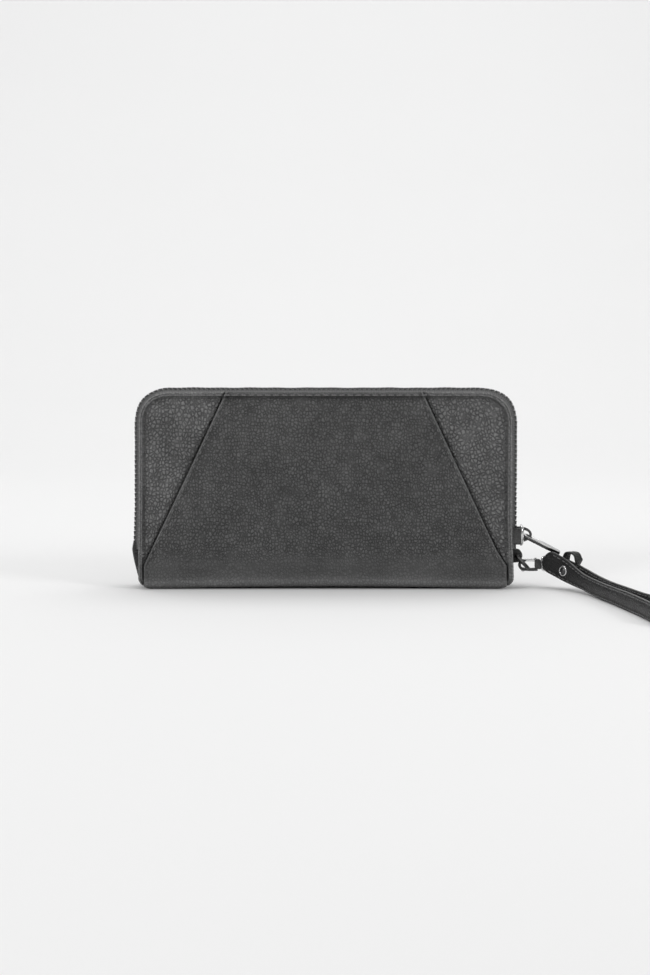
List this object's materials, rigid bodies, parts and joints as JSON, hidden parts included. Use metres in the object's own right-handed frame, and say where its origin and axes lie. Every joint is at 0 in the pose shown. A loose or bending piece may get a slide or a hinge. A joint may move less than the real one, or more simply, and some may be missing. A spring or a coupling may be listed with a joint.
{
  "type": "long wallet",
  "caption": "Zip-around long wallet in pebbled leather, standing on its spine, with slanted front seams, card rows, a central coin pocket and a clip-on wrist strap.",
  "frame": {"origin": "middle of the spine's flat underside, which the closed wallet stands on", "axes": "+X along the wallet towards the wrist strap, +Y from the front cover to the back cover, +Z from the spine up to the zip"},
  "size_m": [0.2819, 0.1709, 0.103],
  "materials": {
    "cover_leather": "pebbled full-grain, semi-matte",
    "strap_leather": "fine pebbled, padded, semi-matte",
    "inner_leather": "smooth, matte",
    "lining_cloth": "fine plain weave",
    "foam": "soft closed foam sheet",
    "stiffener": "pressed paper board",
    "thread": "waxed twisted thread",
    "zip_tape": "woven herringbone tape",
    "zip_metal": "blackened, low sheen",
    "dark_metal": "polished gunmetal",
    "bright_metal": "polished nickel"
  },
  "bodies": {
    "back_half": {"back_panel": "cover_leather", "back_padding": "foam", "back_board": "stiffener", "back_lining": "lining_cloth", "back_edge_stitching": "thread", "back_card_row_1": "inner_leather", "back_card_row_2": "inner_leather", "back_card_row_3": "inner_leather", "back_card_row_4": "inner_leather", "spine_wrap": "cover_leather", "spine_lining": "lining_cloth", "zip_tape_back": "zip_tape", "zip_teeth_back": "zip_metal", "end_tab_left": "cover_leather", "end_tab_right": "cover_leather", "back_gusset_left": "inner_leather", "back_gusset_right": "inner_leather"},
    "coin_pocket": {"coin_pocket_front_wall": "inner_leather", "coin_pocket_back_wall": "inner_leather", "coin_pocket_base": "inner_leather", "coin_pocket_left_side": "inner_leather", "coin_pocket_right_side": "inner_leather", "coin_zip_tape_front": "zip_tape", "coin_zip_tape_back": "zip_tape", "coin_zip_teeth_front": "zip_metal", "coin_zip_teeth_back": "zip_metal"},
    "front_half": {"front_centre_panel": "cover_leather", "front_left_panel": "cover_leather", "front_right_panel": "cover_leather", "front_padding": "foam", "front_board": "stiffener", "front_lining": "lining_cloth", "front_edge_stitching": "thread", "front_seam_stitching": "thread", "front_card_row_1": "inner_leather", "front_card_row_2": "inner_leather", "front_card_row_3": "inner_leather", "front_card_row_4": "inner_leather", "zip_tape_front": "zip_tape", "zip_teeth_front": "zip_metal", "front_gusset_left": "inner_leather", "front_gusset_right": "inner_leather"},
    "zip_slider": {"zip_slider_body": "zip_metal", "zip_slider_bridge": "dark_metal"},
    "puller": {"zip_puller": "bright_metal"},
    "ring": {"d_ring": "dark_metal"},
    "clasp": {"clasp_body": "dark_metal", "clasp_gate_pin": "dark_metal"},
    "gate": {"clasp_gate": "bright_metal"},
    "eye": {"clasp_swivel_eye": "dark_metal"},
    "strap": {"strap_end_tab": "strap_leather", "wrist_strap": "strap_leather", "strap_rivet": "dark_metal", "strap_keeper": "strap_leather"},
    "coin_slider": {"coin_zip_slider": "bright_metal"},
    "coin_puller": {"coin_zip_puller": "bright_metal"}
  },
  "joints": [
    {"name": "coin_pocket_swing", "type": "hinge", "parent": "back_half", "child": "coin_pocket", "pos_m": [0, 0, 0.0125], "axis": [1, 0, 0], "range_deg": [0, 35], "deforming": ["back_gusset_left", "back_gusset_right", "spine_wrap", "spine_lining"]},
    {"name": "front_cover_swing", "type": "hinge", "parent": "coin_pocket", "child": "front_half", "pos_m": [0, 0, 0.0125], "axis": [1, 0, 0], "range_deg": [0, 35], "deforming": ["front_gusset_left", "front_gusset_right", "zip_teeth_front"]},
    {"name": "zip_slider_travel", "type": "slide", "parent": "back_half", "child": "zip_slider", "axis": [0, 0, 1], "range_m": [0, 0.045], "deforming": ["zip_teeth_back"]},
    {"name": "puller_swing", "type": "hinge", "parent": "zip_slider", "child": "puller", "pos_m": [0.1016, 0, 0.0282], "axis": [0, -1, 0], "range_deg": [0, 115]},
    {"name": "ring_swing", "type": "hinge", "parent": "back_half", "child": "ring", "pos_m": [0.0994, 0, 0.0164], "axis": [0, 1, 0], "range_deg": [0, 25]},
    {"name": "clasp_tilt", "type": "hinge", "parent": "ring", "child": "clasp", "pos_m": [0.1046, 0, 0.011], "axis": [0, 1, 0], "range_deg": [0, 30]},
    {"name": "gate_press", "type": "hinge", "parent": "clasp", "child": "gate", "pos_m": [0.1096, 0, 0.014], "axis": [0, -1, 0], "range_deg": [0, 14], "stiffness_Nm_per_rad": 0.002, "springref_deg": -22.92},
    {"name": "eye_swivel", "type": "hinge", "parent": "clasp", "child": "eye", "pos_m": [0.1118, 0, 0.0122], "axis": [1, 0, 0], "range_deg": [0, 180]},
    {"name": "strap_turn", "type": "hinge", "parent": "eye", "child": "strap", "pos_m": [0.1157, 0, 0.0122], "axis": [0, 0, 1], "range_deg": [-10, 35]},
    {"name": "coin_slider_travel", "type": "slide", "parent": "coin_pocket", "child": "coin_slider", "axis": [1, 0, 0], "range_m": [0, 0.14]},
    {"name": "coin_puller_swing", "type": "hinge", "parent": "coin_slider", "child": "coin_puller", "pos_m": [-0.07105, 0, 0.08435], "axis": [0, -1, 0], "range_deg": [0, 175]}
  ],
  "couplings": [
    {"joint": "front_cover_swing", "follows": "coin_pocket_swing", "ratio": 1}
  ]
}
